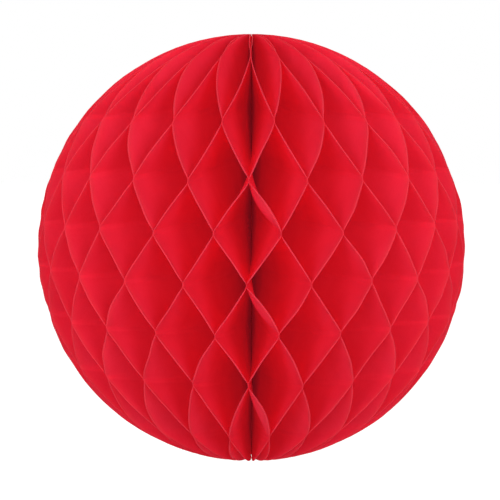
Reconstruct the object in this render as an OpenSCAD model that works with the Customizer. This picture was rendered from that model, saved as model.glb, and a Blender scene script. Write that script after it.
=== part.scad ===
// Tissue honeycomb ball. A fan of half-round tissue leaves is bound along a vertical spine and
// glued leaf to leaf along level lines, each leaf alternately to its two neighbours. Opened
// through a full turn, the leaves zigzag between the glue lines and make diamond cells, and the
// two cover boards meet back to back at the closing seam.
//
// Frame: the origin is the ball's centre, +Z runs up the spine to the hanging end, and the
// closing seam lies at +Y. Sizes are in millimetres and angles in degrees. Each leaf is drawn
// lying along +X, with the fan's turning direction along +Y, and then turned to its place.

/* [Ball] */
// Diameter of the open ball
ball_d = 203.2; // [160:0.1:260]
// Number of tissue leaves, always even
leaf_count = 46; // [36:2:48]
// Thickness of one leaf
leaf_t = 0.15; // [0.1:0.01:0.18]

/* [Honeycomb] */
// Distance between glue lines, measured along the paper
glue_pitch = 25.4; // [22:0.1:32]
// Width of a glue line
glue_w = 2.4; // [1:0.1:4]
// Height of the glue pattern's middle above the ball's centre
glue_shift = 4.5; // [0:0.1:8]
// Space left between two leaves where they are glued
glue_gap = 0.05; // [0.02:0.01:0.06]

/* [Cover boards] */
// Thickness of a cover board
board_t = 0.6; // [0.4:0.05:0.6]
// How far a board's rim lies inside the ball's surface
board_margin = 2; // [1:0.5:20]
// Distance of a board's straight edge from the spine axis
board_in = 9.5; // [9.5:0.5:14]

/* [Spine] */
// Diameter of the bound core
core_d = 5; // [4.9:0.1:6]
// Distance of the core's ends from the ball's poles
core_inset = 1; // [0.5:0.5:4]
// Diameter of the tie threads round the core
tie_d = 0.8; // [0.5:0.1:1]
// Distance of the tie threads from the ball's poles
tie_inset = 6; // [4:1:10]

/* [Hinge strips] */
// Thickness of the strips that hinge the boards to the core
strip_t = 0.1; // [0.08:0.01:0.1]
// Distance of a strip's glued edge from the spine axis
strip_out = 16; // [14:1:24]
// Length of a strip along the spine
strip_l = 172; // [120:1:180]

/* [Closure pads] */
// Width and height of an adhesive closure pad
pad_size = 12; // [8:1:16]
// Distance of a pad's middle from the spine axis
pad_r = 62; // [40:1:70]
// Distance of the outer pads above and below the middle one
pad_step = 48; // [30:1:55]

/* [Hidden] */
$fn = 96;
ball_r = ball_d / 2;
turn = 360 / leaf_count;
seam = 90;

// Clearance between the core and the leaves' bound edges.
core_gap = 0.1;
leaf_in = core_d / 2 + core_gap;

// Least width of a leaf anywhere, and its width at its two ends.
least_w = 0.5;
end_w = 2;
leaf_tip = leaf_in + end_w;

// A little inside a board's straight edge, the outermost leaves already leave it its full room.
board_ease = 0.5;
stand_off_r = board_in - board_ease;

// Clearance round a tie thread, and between a closure pad and the board it lets go of.
tie_gap = 0.02;
pad_gap = 0.02;

// A level is a line across the leaf, named by its height along the paper from the pattern's
// middle. Glue lines lie at half-odd multiples of glue_pitch.
first_row = ceil((-ball_r - glue_shift) / glue_pitch - 0.5);
last_row = floor((ball_r - glue_shift) / glue_pitch - 0.5);
tip_angle = acos(leaf_tip / ball_r);
level_step = 8.5;

// Outline angle, above the equator, of a paper height.
function outline_angle(s) = asin((s + glue_shift) / ball_r);

// Outline angles of the leaf's two ends and of both edges of every glue line.
stops = [
    -tip_angle,
    for (k = [first_row : last_row], side = [-1, 1])
        outline_angle((k + 0.5) * glue_pitch + side * glue_w / 2),
    tip_angle
];

// All the levels: the stops, with even steps of at most about level_step between them.
levels = [
    for (i = [0 : len(stops) - 2])
        let (gap = stops[i + 1] - stops[i], n = max(1, round(gap / level_step)))
            for (j = [0 : n - 1]) ball_r * sin(stops[i] + gap * j / n) - glue_shift,
    ball_r * sin(tip_angle) - glue_shift
];

// Share of the half turn, from -1 to 1, that an odd leaf leans towards the next leaf.
function lean(s) =
    let (x = s / glue_pitch - 0.5, row = round(x), land = glue_w / glue_pitch / 2)
        (row % 2 == 0 ? -1 : 1) * min(1, (0.5 - abs(x - row)) / (0.5 - land));

// Height of a point of the open leaf. The paper keeps its length, so it stands lower where it
// has further to travel between glue lines.
function height(r, s) =
    glue_shift + s * sqrt(1 - pow(r * turn * PI / 180 / glue_pitch, 2));

// Radius at which a level meets the ball's surface, closed in on in a few steps.
EDGE_STEPS = 12;
function edge_r(s, r = leaf_in, steps = EDGE_STEPS) =
    steps == 0
        ? r
        : let (out = pow(ball_r, 2) - pow(height(r, s), 2))
            edge_r(s, sqrt(max(pow(leaf_in + least_w, 2), out)), steps - 1);

// Distance that a leaf's middle surface keeps from the plane it is glued at: half a glue gap,
// or at the seam a whole one, the hinge strip and the board, which thins out to the spine.
function room(r, at_seam) =
    leaf_t / 2 + (at_seam
        ? glue_gap + strip_t + board_t * min(1, (r - leaf_in) / (stand_off_r - leaf_in))
        : glue_gap / 2);

// One point of leaf i, on its low (-1) or high (1) side.
function leaf_point(i, r, s, side) =
    let (
        share = (i % 2 == 1 ? 1 : -1) * lean(s),
        a = share * turn / 2,
        low_room = room(r, i == 1) * (1 - share) / 2,
        high_room = room(r, i == leaf_count) * (1 + share) / 2,
        w = side * leaf_t / 2 + low_room - high_room
    )
    [r * cos(a) - w * sin(a), r * sin(a) + w * cos(a), height(r, s)];

// Three columns cross a level: the bound edge, the start of the board and the outer edge.
COLUMNS = 3;
function columns(s) =
    let (edge = edge_r(s))
        [leaf_in, min(stand_off_r, (leaf_in + edge) / 2), edge];

function node_name(i) = str("leaf_", i < 10 ? "0" : "", i);

// Glued back edges of the leaves, with a groove at each end for its tie thread.
module spine_core() {
    color([0.62, 0.05, 0.10])
        rotate_extrude()
            difference() {
                translate([0, core_inset - ball_r])
                    square([core_d / 2, ball_d - 2 * core_inset]);
                for (side = [-1, 1])
                    translate([core_d / 2 - tie_d, side * (ball_r - tie_inset) - tie_d / 2])
                        square([core_d, tie_d]);
            }
}

// Thread tied round the core in its groove, with a little clearance all round.
module tie(side) {
    color([0.80, 0.10, 0.16])
        translate([0, 0, side * (ball_r - tie_inset)])
            rotate_extrude()
                translate([(core_d - tie_d) / 2, 0])
                    circle(d = tie_d - 2 * tie_gap, $fn = 24);
}

// Half-round cover board that lies along +X, on the +Y side of the seam plane.
module board() {
    color([0.76, 0.07, 0.14])
        translate([0, strip_t + board_t, 0])
            rotate([90, 0, 0])
                linear_extrude(board_t)
                    intersection() {
                        circle(r = ball_r - board_margin);
                        translate([board_in, -ball_r])
                            square([ball_r, ball_d]);
                    }
}

// Paper strip from the core to the board, between the board and the seam plane.
module hinge_strip() {
    color([0.70, 0.06, 0.12])
        translate([core_d / 2, 0, -strip_l / 2])
            cube([strip_out - core_d / 2, strip_t, strip_l]);
}

// Three adhesive pads that hold the two boards together. They fill the gap between the boards
// but for a hair, and stay on the moving board. The outer two lie nearer the spine.
module closure_pads() {
    color([0.88, 0.86, 0.84])
        rotate([0, 0, seam])
            for (k = [-1 : 1])
                translate([pad_r - abs(k) * pad_size, 0, k * pad_step])
                    translate([-pad_size / 2, -strip_t, -pad_size / 2])
                        cube([pad_size, 2 * strip_t - pad_gap, pad_size]);
}

// One leaf, a thin closed skin of three columns on each side of every level.
module leaf(i) {
    function at(l, side, c) = (2 * l + side) * COLUMNS + c;
    points = [
        for (s = levels, side = [-1, 1], r = columns(s)) leaf_point(i, r, s, side)
    ];
    top = len(levels) - 1;
    outer = COLUMNS - 1;
    faces = [
        for (l = [0 : top - 1], c = [0 : outer - 1]) each [
            [at(l, 1, c), at(l, 1, c + 1), at(l + 1, 1, c + 1)],
            [at(l, 1, c), at(l + 1, 1, c + 1), at(l + 1, 1, c)],
            [at(l, 0, c), at(l + 1, 0, c + 1), at(l, 0, c + 1)],
            [at(l, 0, c), at(l + 1, 0, c), at(l + 1, 0, c + 1)]
        ],
        for (l = [0 : top - 1]) each [
            [at(l, 0, outer), at(l + 1, 0, outer), at(l + 1, 1, outer)],
            [at(l, 0, outer), at(l + 1, 1, outer), at(l, 1, outer)],
            [at(l, 0, 0), at(l, 1, 0), at(l + 1, 1, 0)],
            [at(l, 0, 0), at(l + 1, 1, 0), at(l + 1, 0, 0)]
        ],
        for (c = [0 : outer - 1]) each [
            [at(0, 0, c), at(0, 0, c + 1), at(0, 1, c + 1), at(0, 1, c)],
            [at(top, 0, c), at(top, 1, c), at(top, 1, c + 1), at(top, 0, c + 1)]
        ]
    ];
    color([0.86, 0.08, 0.17])
        rotate([0, 0, seam + (i - 0.5) * turn])
            polyhedron(points, faces);
}

spine_core();
tie(1);  // top_tie
tie(-1);  // bottom_tie
rotate([0, 0, seam]) board();  // fixed_board
rotate([0, 0, seam]) mirror([0, 1, 0]) board();  // moving_board
rotate([0, 0, seam]) hinge_strip();  // fixed_hinge_strip
rotate([0, 0, seam]) mirror([0, 1, 0]) hinge_strip();  // moving_hinge_strip
closure_pads();
for (i = [1 : leaf_count])
    leaf(i);
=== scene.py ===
"""The looks of the tissue honeycomb ball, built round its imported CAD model.

Each CAD leaf is replaced by a finer sheet of tissue on the same glue lines, with rounded bends,
slightly uneven cells and a soft cut rim. The boards, spine, strips, pads and ties keep their CAD
shapes and get better materials. Metres and radians throughout, in the CAD frame: the origin is the
ball's centre, +Z runs up the spine, and the closing seam is at +Y, behind the ball.
"""

import math

import bpy
import numpy as np
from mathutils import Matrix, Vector


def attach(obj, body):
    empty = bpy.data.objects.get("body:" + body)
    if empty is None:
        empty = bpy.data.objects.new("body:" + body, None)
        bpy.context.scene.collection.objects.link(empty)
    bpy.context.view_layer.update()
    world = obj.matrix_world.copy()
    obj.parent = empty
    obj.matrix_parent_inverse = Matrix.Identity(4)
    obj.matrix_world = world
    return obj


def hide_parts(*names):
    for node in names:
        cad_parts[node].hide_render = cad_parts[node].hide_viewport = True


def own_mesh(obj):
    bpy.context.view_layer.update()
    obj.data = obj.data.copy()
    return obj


# ---- sizes repeated from the part's source ----
BALL_R = 0.1016
LEAVES = 46
TURN = 2 * math.pi / LEAVES
SEAM = math.pi / 2
PITCH = 0.0254  # from one glue line to the next, along the paper
GLUE_SHIFT = 0.0045  # the glue pattern's middle, above the ball's centre
GLUE_GAP = 0.00005
LEAF_T = 0.00015
LEAF_IN = 0.0026  # radius of the leaves' bound edges
LEAF_TIP = 0.0046  # radius at which the leaves end at the poles
STRIP_T = 0.0001
BOARD_T = 0.0006
STAND_OFF_R = 0.009  # from here out the outermost leaves leave a board its full room

# Glue rows: row k lies at (k + 0.5) * PITCH along the paper. There is an open row beyond either end.
ROWS = range(-4, 4)
ALL_ROWS = range(ROWS[0] - 1, ROWS[-1] + 2)

# ---- how the tissue departs from the plain CAD shape ----
TISSUE_T = 0.00012
RIM_T = 0.0007  # the cut edge is fluffed by the cutter
RIM_DEPTH = 0.0020
RIM_HIGHLIGHT_DEPTH = 0.0040  # painted highlight: the paper is coloured lighter towards the cut, for the light its fluffed rim catches
ROOMY_R = 0.08  # nearer the spine there is less and less room for a fluffed edge
LEAST_FLUFF = 0.2
HELD_SHARE = 0.12  # this close to a glued neighbour, as a share of half a cell, fluff is held down
LAND = 0.0013  # the part of a glue line that the stretched paper leaves flat
BEND = 0.0010  # length of the rounded bend beside it
CELL_TURN_ERROR = math.radians(0.22)
CELL_HEIGHT_ERROR = 0.00035
BULGE = 0.00035
CURL = 0.0004
CURL_DEPTH = 0.0045
RIM_WOBBLE = 0.0001
RIM_WAVES = (5, 9, 16)  # half waves of the wobble from the equator to a pole
STEADY_WIDTH = 0.02  # where a leaf is narrower than this, its rim wobbles less
# The front leaf right of the middle has a band along its rim bent out, below each point where it
# is glued to the leaf on its left.
BENT_LEAF = 24
BENT_ROWS = {0: 1.0, -2: 0.9, -4: 0.6}  # the row at the facet's foot, and how strongly it is bent
BENT_FROM_RIM = (0, 0.0042, 0.017)
BENT_OUT = (0.0016, -0.0030, 0)  # how far to the right the paper lies at those distances
SEED = 46

# ---- how fine the mesh is ----
STEPS_BETWEEN = 8  # levels between the bends at two glue rows
POLE_STEP = math.radians(3)
# Distances from the rim at which a leaf gets a column of points, close together where it shows.
FROM_RIM = np.array([0, 0.35, 0.75, 1.5, 3, 5, 8, 12, 17, 24, 33, 45, 60, 78, 99]) / 1000
EDGE_STEPS = 12

# ---- camera, floor and lights; angles in degrees ----
CAMERA_DISTANCE = 7.3 * BALL_R
CAMERA_UP = 5.5
CAMERA_ROUND = 1.0
CAMERA_SHIFT = (-0.003, -0.005)
SENSOR = 36.0
LENS = 111.2
FLOOR_Z = -0.30  # the ball hangs well clear of the floor
FLOOR_REACH = 6.0
FLOOR_GLOW = 0.65
WORLD_LIGHT = 0.37
BOUNCES = 32  # light goes through many leaves on its way into and out of a cell
DIFFUSE_BOUNCES = 24
SUN_SPREAD = 30
SUNS = [  # name, degrees round from the front, degrees up, strength
    ("front", 0, 5, 0.73),
    ("front_left", -30, 5, 1.57),
    ("front_right", 30, 5, 1.74),
    ("top", 0, 75, 0.1),
    ("back_left", -120, 10, 0.5),
    ("back_right", 120, 10, 0.6),
    ("back", 180, 30, 0.6),
]

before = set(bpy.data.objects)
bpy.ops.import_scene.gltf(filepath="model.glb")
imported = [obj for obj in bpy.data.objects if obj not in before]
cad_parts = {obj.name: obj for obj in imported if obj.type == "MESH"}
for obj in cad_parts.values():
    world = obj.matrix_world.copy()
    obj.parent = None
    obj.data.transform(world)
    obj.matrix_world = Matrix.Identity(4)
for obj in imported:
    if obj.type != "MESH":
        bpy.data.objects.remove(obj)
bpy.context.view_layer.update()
random = np.random.default_rng(SEED)


# ---------------------------------------------------------------- tissue leaves


def paper_levels():
    """Heights along the paper, from the pattern's middle, at which a leaf gets a row of points."""
    half = LAND / 2
    near = [0, half / 2, half, half + BEND / 3, half + BEND * 2 / 3, half + BEND]
    inner = list(np.linspace(half + BEND, PITCH - half - BEND, STEPS_BETWEEN + 1)[1:-1])
    between = near + inner + [PITCH - x for x in reversed(near[1:])]
    heights = [(k + 0.5) * PITCH + x for k in ROWS[:-1] for x in between]
    heights.append((ROWS[-1] + 0.5) * PITCH)
    tip = BALL_R * math.sqrt(1 - (LEAF_TIP / BALL_R) ** 2)
    low_end, high_end = -tip - GLUE_SHIFT, tip - GLUE_SHIFT
    low_row, high_row = heights[0], heights[-1]
    for x in near[1:]:
        heights += [low_row - x, high_row + x]
    # towards the poles the steps are even in outline angle, so that the rim stays round
    for start, end in ((low_row - near[-1], low_end), (high_row + near[-1], high_end)):
        a, b = (math.asin((x + GLUE_SHIFT) / BALL_R) for x in (start, end))
        count = round(abs(b - a) / POLE_STEP)
        heights += [BALL_R * math.sin(v) - GLUE_SHIFT for v in np.linspace(a, b, count + 1)[1:]]
    return np.array(sorted(heights))


LEVELS = paper_levels()


def glide(t):
    """Goes from 0 to 1 with t: straight in the middle, with a rounded bend at each end."""
    c = BEND / (PITCH - LAND)
    start = np.minimum(t, 1 - t)
    part = np.where(start < c, start**2 / (2 * c * (1 - c)), (start - c / 2) / (1 - c))
    return np.where(t < 0.5, part, 1 - part)


def pair_errors(spread):
    """Random errors of each glued pair of leaves at each row, none over twice the spread."""
    return random.normal(0, spread, (LEAVES + 1, len(ALL_ROWS))).clip(-2 * spread, 2 * spread)


# Pair n is leaves n and n + 1, so pairs 0 and LEAVES are an outermost leaf and its board.
TURN_ERROR = pair_errors(CELL_TURN_ERROR)
LIFT = pair_errors(CELL_HEIGHT_ERROR)
TURN_ERROR[[0, LEAVES]] = 0  # the boards hold the outermost leaves true


def room(r, at_seam):
    """Distance of a leaf's middle surface from the plane that it is glued at."""
    if not at_seam:
        return np.full_like(r, LEAF_T / 2 + GLUE_GAP / 2)
    board = BOARD_T * np.clip((r - LEAF_IN) / (STAND_OFF_R - LEAF_IN), 0, 1)
    return LEAF_T / 2 + GLUE_GAP + STRIP_T + board


def face_shape(i, column, between, from_rim, r):
    """How far leaf i's faces bulge, curl at the rim and are bent out, on top of the plain zigzag."""
    hump = np.sin(math.pi * between) ** 2
    bulge = random.normal(0, BULGE, len(ALL_ROWS))[column]
    curl = random.normal(0, CURL, len(ALL_ROWS))[column]
    bent = np.zeros(len(ALL_ROWS))
    if i == BENT_LEAF:
        for row, amount in BENT_ROWS.items():
            bent[row - ALL_ROWS[0]] = amount
    near_rim = np.clip(1 - from_rim / CURL_DEPTH, 0, 1) ** 2
    loose = hump * (bulge * (r / BALL_R) ** 2 + curl * near_rim)
    return loose + np.sqrt(hump) * bent[column] * np.interp(from_rim, BENT_FROM_RIM, BENT_OUT)


def leaf_grid(i):
    """Middle surface, sideways direction, half thickness and painted rim highlight (lighter colour towards
    the cut) of leaf i, level by level.
    """
    s = LEVELS[:, None]
    x = s / PITCH - 0.5
    k = np.clip(np.floor(x), ALL_ROWS[0], ROWS[-1]).astype(int)  # the row at or below the level
    f = x - k
    land = LAND / PITCH / 2
    between = np.clip((f - land) / (1 - 2 * land), 0, 1)
    share = 1 - 2 * glide(between)  # 1 at row k, -1 at the row above

    # which pair the leaf belongs to at row k and at the row above
    leans_on = (k % 2 == 1) == (i % 2 == 1)
    pair_k, pair_up = np.where(leans_on, i, i - 1), np.where(leans_on, i - 1, i)
    column = k - ALL_ROWS[0]
    below = pair_k * TURN + TURN_ERROR[pair_k, column]
    above = pair_up * TURN + TURN_ERROR[pair_up, column + 1]
    angle = SEAM + (below * (1 + share) + above * (1 - share)) / 2
    lift = LIFT[pair_k, column] * (1 - f) + LIFT[pair_up, column + 1] * f
    lean = np.where(leans_on, share, -share)

    def height(r):
        """The paper keeps its length, so it stands lower where it has further to travel."""
        drawn_in = np.sqrt(1 - (r * TURN / PITCH) ** 2)
        return GLUE_SHIFT + s * drawn_in + lift * np.clip(r / BALL_R, 0, 1)

    wave = sum(
        random.normal(0, RIM_WOBBLE) * np.sin(s / BALL_R * n * math.pi + random.uniform(0, 2 * math.pi))
        for n in RIM_WAVES
    )
    edge = np.full_like(s, BALL_R)
    for _ in range(EDGE_STEPS):
        edge = np.sqrt(np.maximum(LEAF_TIP**2, BALL_R**2 - height(edge) ** 2))
    edge = edge + wave * np.clip((edge - LEAF_TIP) / STEADY_WIDTH, 0, 1)

    # the columns keep their distances near the rim and close up towards the bound edge
    width = edge - LEAF_IN
    from_rim = FROM_RIM * width / (width + FROM_RIM * (1 - width / FROM_RIM[-1]))
    r = edge - from_rim
    sideways = face_shape(i, column, between, from_rim, r)
    sideways += room(r, i == 1) * (1 - lean) / 2 - room(r, i == LEAVES) * (1 + lean) / 2

    rim = np.clip(1 - from_rim / RIM_DEPTH, 0, 1) ** 2
    free = np.clip((1 - np.abs(share)) / HELD_SHARE, 0, 1) * np.clip(r / ROOMY_R, LEAST_FLUFF, 1)
    half_t = (TISSUE_T + (RIM_T - TISSUE_T) * rim * free) / 2
    outward = np.stack([np.cos(angle), np.sin(angle), np.zeros_like(angle)], -1)
    across = np.stack([-np.sin(angle), np.cos(angle), np.zeros_like(angle)], -1)
    middle = outward * r[..., None] + across * sideways[..., None]
    middle[..., 2] = height(r)
    # painted highlight: lighter colour towards the cut rim, standing in for the light the fluffed edge
    # catches
    pale = np.clip(1 - from_rim / RIM_HIGHLIGHT_DEPTH, 0, 1) ** 2
    return middle, across, half_t, pale


def tissue_leaf(i):
    """Leaf i as a closed mesh: the middle surface's two skins, and a band round their border."""
    middle, across, half_t, pale = leaf_grid(i)
    rows, columns = middle.shape[:2]
    offset = across * half_t[..., None]
    points = np.concatenate([(middle - offset).reshape(-1, 3), (middle + offset).reshape(-1, 3)])
    here = np.arange(rows * columns).reshape(rows, columns)
    a, b, c, d = here[:-1, :-1], here[:-1, 1:], here[1:, 1:], here[1:, :-1]
    low = np.stack([a, b, c, d], -1).reshape(-1, 4)
    up = rows * columns
    high = low[:, ::-1] + up
    border = np.concatenate([here[0, :-1], here[:-1, -1], here[-1, :0:-1], here[:0:-1, 0]])
    after = np.roll(border, -1)
    band = np.stack([after, border, border + up, after + up], -1)
    faces = np.concatenate([low, high, band])

    mesh = bpy.data.meshes.new(f"tissue_leaf_{i:02d}")
    mesh.from_pydata(points.tolist(), [], faces.tolist())
    # the painted rim highlight, kept with each point for the material
    attribute = mesh.attributes.new("painted_rim_highlight", "FLOAT", "POINT")
    attribute.data.foreach_set("value", np.tile(pale.reshape(-1), 2).astype(np.float32))
    mesh.shade_smooth()
    piece = bpy.data.objects.new(mesh.name, mesh)
    bpy.context.scene.collection.objects.link(piece)
    return piece


# ---------------------------------------------------------------- materials


class Nodes:
    """A short way to write a material's node tree."""

    def __init__(self, name):
        self.material = bpy.data.materials.new(name)
        self.material.use_nodes = True
        self.tree = self.material.node_tree
        self.tree.nodes.clear()

    def add(self, kind, inputs=None, **settings):
        node = self.tree.nodes.new("ShaderNode" + kind)
        for key, value in settings.items():
            setattr(node, key, value)
        for key, value in (inputs or {}).items():
            socket = node.inputs[key]
            if isinstance(value, bpy.types.NodeSocket):
                self.tree.links.new(value, socket)
            else:
                socket.default_value = value
        return node

    def grain(self, scale, stretch=(1, 1, 1), detail=3.0, roughness=0.55):
        """Noise in object space, with its scale in features per metre."""
        place = self.add("TexCoord").outputs["Object"]
        mapping = self.add("Mapping", {"Vector": place, "Scale": stretch})
        return self.add(
            "TexNoise",
            {"Vector": mapping.outputs[0], "Scale": scale, "Detail": detail, "Roughness": roughness},
        ).outputs["Fac"]

    def ramp(self, value, *stops):
        node = self.add("ValToRGB", {"Fac": value})
        elements = node.color_ramp.elements
        while len(elements) < len(stops):
            elements.new(0.5)
        for element, (position, colour) in zip(elements, stops):
            element.position = position
            element.color = (*colour, 1)
        return node.outputs["Color"]

    def mix(self, factor, a, b, blend="MIX"):
        """Mixes two colours, whose sockets on a Mix node are 6 and 7."""
        return self.add("Mix", {0: factor, 6: a, 7: b}, data_type="RGBA", blend_type=blend).outputs[2]

    def finish(self, shader):
        self.add("OutputMaterial", {"Surface": shader})
        return self.material


def tissue_material():
    """Thin dyed tissue: more light comes through it than it reflects. Its trace of glow stands for
    the light that scatters on between the leaves beyond the bounces that are traced."""
    n = Nodes("red_tissue")
    fibre = n.grain(1500, (1, 1, 0.12), 4.0)
    cloud = n.grain(70, (1, 1, 0.6), 2.0)
    paper = n.ramp(cloud, (0.3, (0.925, 0.030, 0.088)), (0.7, (0.955, 0.039, 0.110)))
    thread = n.ramp(fibre, (0.25, (0.97, 0.84, 0.84)), (0.75, (1.0, 1.0, 1.0)))
    grained = n.mix(1.0, paper, thread, "MULTIPLY")
    # painted highlight: a lighter colour is mixed in towards the cut rim
    pale = n.add("Attribute", attribute_name="painted_rim_highlight").outputs["Fac"]
    colour = n.mix(pale, grained, (0.92, 0.064, 0.114, 1))
    bump = n.add("Bump", {"Height": fibre, "Strength": 0.35, "Distance": 0.0001}).outputs[0]
    face = n.add(
        "BsdfPrincipled",
        {
            "Base Color": colour,
            "Roughness": 0.72,
            "Specular IOR Level": 0.22,
            "Normal": bump,
            "Emission Color": (1.0, 0.14, 0.27, 1),
            "Emission Strength": 0.056,
        },
    )
    through = n.add("BsdfTranslucent", {"Color": colour, "Normal": bump})
    mixed = n.add("MixShader", {0: 0.6, 1: face.outputs[0], 2: through.outputs[0]})
    return n.finish(mixed.outputs[0])


def plain_material(name, low, high, scale, stretch=(1, 1, 1), roughness=0.7, bump=0.3, depth=0.0001):
    """A matt material with a mottled colour and a matching fine bump."""
    n = Nodes(name)
    grain = n.grain(scale, stretch)
    colour = n.ramp(grain, (0.3, low), (0.7, high))
    height = n.add("Bump", {"Height": grain, "Strength": bump, "Distance": depth})
    shader = n.add(
        "BsdfPrincipled",
        {
            "Base Color": colour,
            "Roughness": roughness,
            "Specular IOR Level": 0.3,
            "Normal": height.outputs[0],
        },
    )
    return n.finish(shader.outputs[0])


# ---------------------------------------------------------------- pieces

tissue = tissue_material()
for i in range(1, LEAVES + 1):
    node = f"leaf_{i:02d}"
    leaf = tissue_leaf(i)
    leaf.data.materials.append(tissue)
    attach(leaf, node)
    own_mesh(leaf)
    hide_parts(node)

card = plain_material("red_card", (0.78, 0.018, 0.038), (0.86, 0.026, 0.054), 900, (1, 1, 1), 0.6)
binding = plain_material("bound_edges", (0.60, 0.012, 0.030), (0.78, 0.020, 0.045), 2600, (1, 1, 0.02), 0.8)
strip = plain_material("hinge_paper", (0.74, 0.016, 0.034), (0.82, 0.024, 0.048), 1400, (1, 1, 0.3), 0.7)
thread = plain_material("tie_thread", (0.52, 0.02, 0.03), (0.70, 0.05, 0.06), 2400, (1, 1, 3), 0.8)
pad = plain_material("adhesive_pad", (0.70, 0.68, 0.64), (0.80, 0.78, 0.75), 700, (1, 1, 1), 0.5)
finishes = {
    "spine_core": binding,
    "top_tie": thread,
    "bottom_tie": thread,
    "fixed_board": card,
    "moving_board": card,
    "fixed_hinge_strip": strip,
    "moving_hinge_strip": strip,
    "closure_pads": pad,
}
for node, material in finishes.items():
    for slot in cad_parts[node].material_slots:
        slot.material = material


# ---------------------------------------------------------------- stage, light and camera


def floor():
    """A pale floor. What the camera sees of it is lifted to white; the light it gives the ball is not."""
    n = Nodes("pale_floor")
    shade = n.ramp(n.grain(30, (1, 1, 1), 2.0), (0.3, (0.58, 0.58, 0.58)), (0.7, (0.62, 0.62, 0.62)))
    seen = n.add("LightPath").outputs["Is Camera Ray"]
    lifted = n.add("Math", {0: seen, 1: FLOOR_GLOW}, operation="MULTIPLY").outputs[0]
    shader = n.add(
        "BsdfPrincipled",
        {
            "Base Color": shade,
            "Roughness": 0.9,
            "Specular IOR Level": 0.1,
            "Emission Color": (1, 1, 1, 1),
            "Emission Strength": lifted,
        },
    )
    mesh = bpy.data.meshes.new("floor")
    signs = ((-1, -1), (1, -1), (1, 1), (-1, 1))
    corners = [(x * FLOOR_REACH, y * FLOOR_REACH, FLOOR_Z) for x, y in signs]
    mesh.from_pydata(corners, [], [(0, 1, 2, 3)])
    mesh.materials.append(n.finish(shader.outputs[0]))
    plane = bpy.data.objects.new("floor", mesh)
    bpy.context.scene.collection.objects.link(plane)


def studio_world():
    """White where the camera sees it, and an even soft light of WORLD_LIGHT everywhere else."""
    world = bpy.data.worlds.new("studio")
    world.use_nodes = True
    tree = world.node_tree
    shader = tree.nodes["Background"]
    shader.inputs["Color"].default_value = (1, 1, 1, 1)
    path = tree.nodes.new("ShaderNodeLightPath")
    level = tree.nodes.new("ShaderNodeMix")
    level.inputs[2].default_value, level.inputs[3].default_value = WORLD_LIGHT, 1.0
    tree.links.new(path.outputs["Is Camera Ray"], level.inputs[0])
    tree.links.new(level.outputs[0], shader.inputs["Strength"])
    bpy.context.scene.world = world


def direction(round_z, up):
    """Unit vector from the ball, round_z degrees from the front towards +X and up degrees above level."""
    round_z, up = math.radians(round_z), math.radians(up)
    return Vector((math.sin(round_z) * math.cos(up), -math.cos(round_z) * math.cos(up), math.sin(up)))


def soft_sun(name, round_z, up, strength):
    """A broad, distant light. round_z is its angle round the ball from the front, and up its height."""
    light = bpy.data.lights.new(name, "SUN")
    light.angle, light.energy = math.radians(SUN_SPREAD), strength
    lamp = bpy.data.objects.new(name, light)
    lamp.location = direction(round_z, up)
    lamp.rotation_euler = (-lamp.location).to_track_quat("-Z", "Y").to_euler()
    bpy.context.scene.collection.objects.link(lamp)


def place_camera():
    """Looks at the ball's centre from a little above and almost straight in front."""
    data = bpy.data.cameras.new("camera")
    data.lens, data.sensor_width, data.clip_start = LENS, SENSOR, 0.01
    data.shift_x, data.shift_y = CAMERA_SHIFT
    camera = bpy.data.objects.new("camera", data)
    away = direction(CAMERA_ROUND, CAMERA_UP)
    camera.location = away * CAMERA_DISTANCE
    camera.rotation_euler = (-away).to_track_quat("-Z", "Y").to_euler()
    bpy.context.scene.collection.objects.link(camera)
    bpy.context.scene.camera = camera


floor()
studio_world()
for name, round_z, up, strength in SUNS:
    soft_sun(name, round_z, up, strength)
light_paths = bpy.context.scene.cycles
light_paths.max_bounces = light_paths.transmission_bounces = BOUNCES
light_paths.diffuse_bounces = DIFFUSE_BOUNCES
bpy.context.scene.view_settings.view_transform = "Standard"
place_camera()
